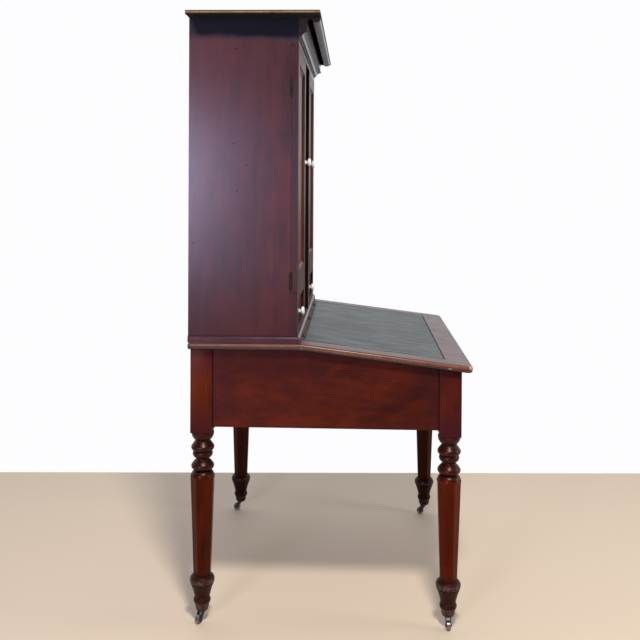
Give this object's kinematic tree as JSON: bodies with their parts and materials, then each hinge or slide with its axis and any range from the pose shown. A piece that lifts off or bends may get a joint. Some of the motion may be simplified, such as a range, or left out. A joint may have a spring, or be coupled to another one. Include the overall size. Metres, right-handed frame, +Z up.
{
  "type": "standing desk",
  "caption": "Standing desk with a sloping leather-lined lid over a well, a two-door cupboard with drawers and an open bay, a cornice, and turned octagonal legs on castors.",
  "frame": {"origin": "on the floor, under the middle of the bounding box", "axes": "+X to the right and -Y towards the clerk who stands at the desk, +Z up"},
  "size_m": [1.212, 0.942, 2.0375],
  "materials": {
    "mahogany": "aged polish, satin",
    "pine": "plain planed deal",
    "leather": "worn, satin",
    "porcelain": "glazed",
    "brass": "tarnished",
    "iron": "dark, matt",
    "wheel_metal": "worn"
  },
  "bodies": {
    "desk": {"leg_front_left": "mahogany", "leg_front_right": "mahogany", "leg_rear_left": "mahogany", "leg_rear_right": "mahogany", "apron_left": "mahogany", "apron_right": "mahogany", "apron_front": "mahogany", "apron_rear": "mahogany", "well_floor": "pine", "well_ledgers": "pine", "flat_top": "mahogany", "lid_hinge_fixed_leaves": "brass", "castor_plates": "iron", "case_side_left": "mahogany", "case_side_right": "mahogany", "inner_stiles": "mahogany", "partitions": "pine", "case_floor": "pine", "case_ceiling": "pine", "case_top_rail": "mahogany", "side_shelves": "pine", "centre_shelf": "pine", "drawer_dividers": "mahogany", "drawer_beds": "pine", "drawer_stops": "pine", "case_back_boards": "pine", "top_board": "mahogany", "cornice_frieze": "mahogany", "cornice_crown": "mahogany", "cornice_bed_moulding": "mahogany", "base_moulding": "mahogany", "door_hinge_fixed_leaves": "brass"},
    "lid": {"lid_frame": "mahogany", "lid_panel": "mahogany", "lid_leather": "leather", "lid_hinge_moving_leaves": "brass"},
    "door_left": {"door_left_frame": "mahogany", "door_left_panel": "mahogany", "door_left_moulding": "mahogany", "door_left_knob": "porcelain", "door_left_hinge_leaves": "brass"},
    "drawer_left": {"drawer_left_front": "mahogany", "drawer_left_box": "pine", "drawer_left_knob": "porcelain"},
    "door_right": {"door_right_frame": "mahogany", "door_right_panel": "mahogany", "door_right_moulding": "mahogany", "door_right_knob": "porcelain", "door_right_hinge_leaves": "brass"},
    "drawer_right": {"drawer_right_front": "mahogany", "drawer_right_box": "pine", "drawer_right_knob": "porcelain"},
    "swivel_front_left": {"castor_fork_front_left": "iron"},
    "roller_front_left": {"castor_wheel_front_left": "wheel_metal"},
    "swivel_front_right": {"castor_fork_front_right": "iron"},
    "roller_front_right": {"castor_wheel_front_right": "wheel_metal"},
    "swivel_rear_left": {"castor_fork_rear_left": "iron"},
    "roller_rear_left": {"castor_wheel_rear_left": "wheel_metal"},
    "swivel_rear_right": {"castor_fork_rear_right": "iron"},
    "roller_rear_right": {"castor_wheel_rear_right": "wheel_metal"}
  },
  "joints": [
    {"name": "lid_hinge", "type": "hinge", "parent": "desk", "child": "lid", "pos_m": [0, 0.0925, 0.951], "axis": [1, 0, 0], "range_deg": [-95, 0]},
    {"name": "door_left_hinge", "type": "hinge", "parent": "desk", "child": "door_left", "pos_m": [-0.5379, 0.1305, 1.4775], "axis": [0, 0, -1], "range_deg": [0, 180]},
    {"name": "door_right_hinge", "type": "hinge", "parent": "desk", "child": "door_right", "pos_m": [0.5379, 0.1305, 1.4775], "axis": [0, 0, 1], "range_deg": [0, 180]},
    {"name": "drawer_left_slide", "type": "slide", "parent": "desk", "child": "drawer_left", "axis": [0, -1, 0], "range_m": [0, 0.24]},
    {"name": "drawer_right_slide", "type": "slide", "parent": "desk", "child": "drawer_right", "axis": [0, -1, 0], "range_m": [0, 0.24]},
    {"name": "swivel_front_left_turn", "type": "hinge", "parent": "desk", "child": "swivel_front_left", "pos_m": [-0.4925, -0.399, 0.043], "axis": [0, 0, 1], "continuous": true},
    {"name": "roller_front_left_turn", "type": "hinge", "parent": "swivel_front_left", "child": "roller_front_left", "pos_m": [-0.5095, -0.399, 0.015], "axis": [0, 1, 0], "continuous": true},
    {"name": "swivel_front_right_turn", "type": "hinge", "parent": "desk", "child": "swivel_front_right", "pos_m": [0.4925, -0.399, 0.043], "axis": [0, 0, 1], "continuous": true},
    {"name": "roller_front_right_turn", "type": "hinge", "parent": "swivel_front_right", "child": "roller_front_right", "pos_m": [0.49131, -0.38204, 0.015], "axis": [0.9976, 0.0698, 0], "continuous": true},
    {"name": "swivel_rear_left_turn", "type": "hinge", "parent": "desk", "child": "swivel_rear_left", "pos_m": [-0.4925, 0.427, 0.043], "axis": [0, 0, 1], "continuous": true},
    {"name": "roller_rear_left_turn", "type": "hinge", "parent": "swivel_rear_left", "child": "roller_rear_left", "pos_m": [-0.50722, 0.4355, 0.015], "axis": [0.5, 0.866, 0], "continuous": true},
    {"name": "swivel_rear_right_turn", "type": "hinge", "parent": "desk", "child": "swivel_rear_right", "pos_m": [0.4925, 0.427, 0.043], "axis": [0, 0, 1], "continuous": true},
    {"name": "roller_rear_right_turn", "type": "hinge", "parent": "swivel_rear_right", "child": "roller_rear_right", "pos_m": [0.49428, 0.44391, 0.015], "axis": [0.9945, -0.1045, 0], "continuous": true}
  ]
}
